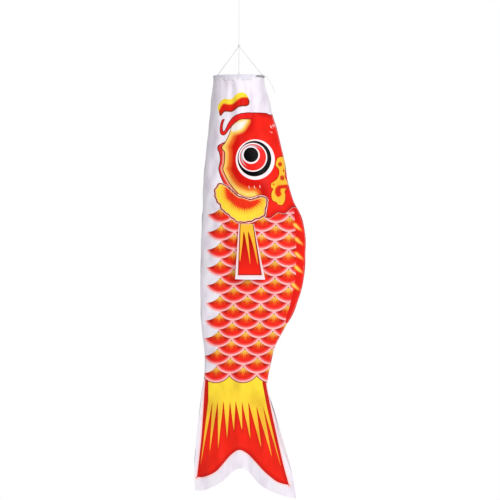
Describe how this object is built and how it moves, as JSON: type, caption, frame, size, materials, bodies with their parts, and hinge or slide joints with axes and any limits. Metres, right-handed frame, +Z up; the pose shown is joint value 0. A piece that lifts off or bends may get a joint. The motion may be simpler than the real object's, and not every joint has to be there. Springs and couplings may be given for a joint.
{
  "type": "carp streamer",
  "caption": "Printed cloth carp windsock that hangs head up from a cord by a hoop in its mouth, with loose fins and tail panels.",
  "frame": {"origin": "the point at the top of the hanging loop where the loop bears on its hook", "axes": "+Z up, the way the part hangs; +X towards the fish's back; -Y towards the fish's left side, which faces the viewer"},
  "size_m": [0.1836, 0.087, 0.859],
  "materials": {
    "printed_cloth": "satin",
    "tail_cloth": "satin",
    "fin_cloth": "satin",
    "white_cloth": "satin",
    "thread": "matte",
    "cord": "matte",
    "hoop_wire": "satin",
    "hoop_sleeve": "satin"
  },
  "bodies": {
    "hanger": {"hanging_loop": "cord", "loop_knot": "cord"},
    "line": {"hang_line": "cord"},
    "knot": {"gather_knot": "cord"},
    "forebody": {"front_bridle_leg": "cord", "back_bridle_leg": "cord", "belly_bridle_leg": "cord", "bridle_knots": "cord", "knot_tail": "cord", "mouth_hoop": "hoop_wire", "hoop_ferrule": "hoop_sleeve", "mouth_hem": "white_cloth", "hem_seam": "thread", "fore_belly_seam": "thread", "fore_back_seam": "thread", "left_fin_seam": "thread", "right_fin_seam": "thread", "left_fore_panel": "printed_cloth", "right_fore_panel": "printed_cloth", "left_waist_cloth": "printed_cloth", "right_waist_cloth": "printed_cloth"},
    "hindbody": {"left_hind_panel": "printed_cloth", "right_hind_panel": "printed_cloth", "hind_belly_seam": "thread", "hind_back_seam": "thread", "left_root_cloth": "printed_cloth", "right_root_cloth": "printed_cloth"},
    "tail_stem": {"left_stem_panel": "printed_cloth", "right_stem_panel": "printed_cloth", "stem_belly_seam": "thread", "stem_back_seam": "thread"},
    "left_tail": {"left_tail_panel": "tail_cloth"},
    "right_tail": {"right_tail_panel": "tail_cloth"},
    "left_fin": {"left_fin": "fin_cloth"},
    "right_fin": {"right_fin": "fin_cloth"}
  },
  "joints": [
    {"name": "line_swing", "type": "hinge", "parent": "hanger", "child": "line", "pos_m": [0, 0, -0.027], "axis": [1, 0, 0], "range_deg": [-60, 60]},
    {"name": "line_twist", "type": "hinge", "parent": "line", "child": "knot", "pos_m": [0, 0, -0.1065], "axis": [0, 0, 1], "continuous": true},
    {"name": "bridle_tilt", "type": "hinge", "parent": "knot", "child": "forebody", "pos_m": [0, 0, -0.109], "axis": [0, 1, 0], "range_deg": [-45, 45]},
    {"name": "body_bend", "type": "hinge", "parent": "forebody", "child": "hindbody", "pos_m": [0, 0, -0.529], "axis": [1, 0, 0], "range_deg": [-25, 25], "deforming": ["left_waist_cloth", "right_waist_cloth"]},
    {"name": "tail_bend", "type": "hinge", "parent": "hindbody", "child": "tail_stem", "pos_m": [0, 0, -0.628], "axis": [1, 0, 0], "range_deg": [-30, 30], "deforming": ["left_root_cloth", "right_root_cloth"]},
    {"name": "left_tail_flap", "type": "hinge", "parent": "tail_stem", "child": "left_tail", "pos_m": [0, -0.00929, -0.686], "axis": [-1, 0, 0], "range_deg": [0, 45]},
    {"name": "right_tail_flap", "type": "hinge", "parent": "tail_stem", "child": "right_tail", "pos_m": [0, 0.00929, -0.686], "axis": [1, 0, 0], "range_deg": [0, 45]},
    {"name": "left_fin_flap", "type": "hinge", "parent": "forebody", "child": "left_fin", "pos_m": [0.01215, -0.03521, -0.403], "axis": [-1, 0, 0], "range_deg": [0, 95]},
    {"name": "right_fin_flap", "type": "hinge", "parent": "forebody", "child": "right_fin", "pos_m": [0.01215, 0.03521, -0.403], "axis": [1, 0, 0], "range_deg": [0, 95]}
  ]
}
